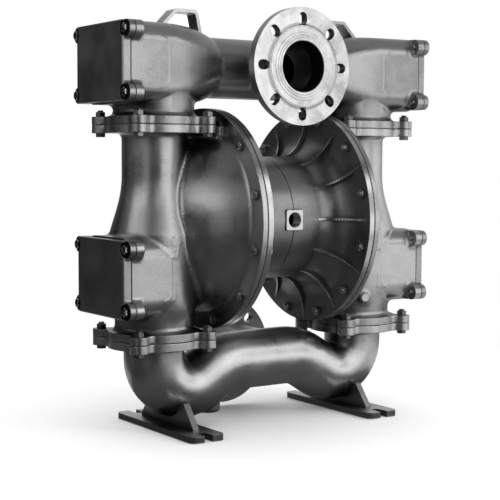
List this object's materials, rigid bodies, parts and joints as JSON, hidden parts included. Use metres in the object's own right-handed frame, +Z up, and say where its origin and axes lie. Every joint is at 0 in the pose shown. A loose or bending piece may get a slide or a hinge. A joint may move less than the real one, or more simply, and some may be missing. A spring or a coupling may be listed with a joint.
{
  "type": "air operated diaphragm pump",
  "caption": "Cast stainless double diaphragm pump driven by air, with flanged ports in front and behind, ball valves behind access covers, lifting straps and notched feet.",
  "frame": {"origin": "on the floor under the middle of the pump", "axes": "+X along the diaphragm shaft, -Y out of the discharge flange, +Z up"},
  "size_m": [0.7348, 0.44, 0.8295],
  "materials": {
    "cast_stainless": "bead blasted",
    "cast_aluminium": "as cast",
    "valve_aluminium": "satin",
    "bearing_bronze": "machined",
    "fasteners": "satin",
    "machined_steel": "machined",
    "bright_bar": "satin",
    "diaphragm_rubber": "matte",
    "seal_rubber": "matte",
    "valve_ball": "smooth"
  },
  "bodies": {
    "pump_body": {"air_valve_body": "valve_aluminium", "air_valve_bolts": "fasteners", "air_valve_gasket": "seal_rubber", "air_valve_sleeve": "bearing_bronze", "centre_block": "cast_aluminium", "chamber_bolts": "fasteners", "chamber_nuts": "fasteners", "cover_bolts": "fasteners", "cover_gaskets": "seal_rubber", "discharge_manifold": "cast_stainless", "drain_plug": "fasteners", "earth_screw": "fasteners", "inlet_manifold": "cast_stainless", "joint_bolts": "fasteners", "joint_gaskets": "seal_rubber", "joint_nuts": "fasteners", "left_air_chamber": "cast_stainless", "left_diaphragm": "diaphragm_rubber", "left_discharge_cover": "cast_stainless", "left_discharge_seat": "machined_steel", "left_foot": "cast_stainless", "left_inlet_cover": "cast_stainless", "left_inlet_seat": "machined_steel", "left_lifting_strap": "bright_bar", "left_liquid_chamber": "cast_stainless", "left_shaft_bush": "bearing_bronze", "left_valve_cap": "valve_aluminium", "pilot_bushes": "bearing_bronze", "right_air_chamber": "cast_stainless", "right_diaphragm": "diaphragm_rubber", "right_discharge_cover": "cast_stainless", "right_discharge_seat": "machined_steel", "right_foot": "cast_stainless", "right_inlet_cover": "cast_stainless", "right_inlet_seat": "machined_steel", "right_lifting_strap": "bright_bar", "right_liquid_chamber": "cast_stainless", "right_shaft_bush": "bearing_bronze", "right_valve_cap": "valve_aluminium", "seat_o_rings": "seal_rubber", "shaft_seals": "seal_rubber", "valve_cap_bolts": "fasteners"},
    "diaphragm_shaft": {"diaphragm_shaft": "machined_steel", "left_inner_plate": "machined_steel", "right_inner_plate": "machined_steel", "left_outer_plate": "machined_steel", "right_outer_plate": "machined_steel"},
    "left_discharge_ball": {"left_discharge_ball": "valve_ball"},
    "right_discharge_ball": {"right_discharge_ball": "valve_ball"},
    "left_inlet_ball": {"left_inlet_ball": "valve_ball"},
    "right_inlet_ball": {"right_inlet_ball": "valve_ball"},
    "air_valve_spool": {"air_valve_spool": "machined_steel", "spool_seals": "seal_rubber"},
    "pilot_rod": {"pilot_rod": "machined_steel"}
  },
  "joints": [
    {"name": "shaft_slide", "type": "slide", "parent": "pump_body", "child": "diaphragm_shaft", "axis": [1, 0, 0], "range_m": [-0.03, 0.03], "deforming": ["left_diaphragm", "right_diaphragm"]},
    {"name": "pilot_slide", "type": "slide", "parent": "pump_body", "child": "pilot_rod", "axis": [1, 0, 0], "range_m": [-0.006, 0.006]},
    {"name": "spool_slide", "type": "slide", "parent": "pump_body", "child": "air_valve_spool", "axis": [1, 0, 0], "range_m": [0, 0.014]},
    {"name": "left_discharge_ball_lift", "type": "slide", "parent": "pump_body", "child": "left_discharge_ball", "axis": [0, 0, 1], "range_m": [0, 0.038]},
    {"name": "right_discharge_ball_lift", "type": "slide", "parent": "pump_body", "child": "right_discharge_ball", "axis": [0, 0, 1], "range_m": [0, 0.038]},
    {"name": "left_inlet_ball_lift", "type": "slide", "parent": "pump_body", "child": "left_inlet_ball", "axis": [0, 0, 1], "range_m": [0, 0.038]},
    {"name": "right_inlet_ball_lift", "type": "slide", "parent": "pump_body", "child": "right_inlet_ball", "axis": [0, 0, 1], "range_m": [0, 0.038]}
  ],
  "couplings": [
    {"joint": "pilot_slide", "follows": "shaft_slide", "ratio": 0.2}
  ]
}
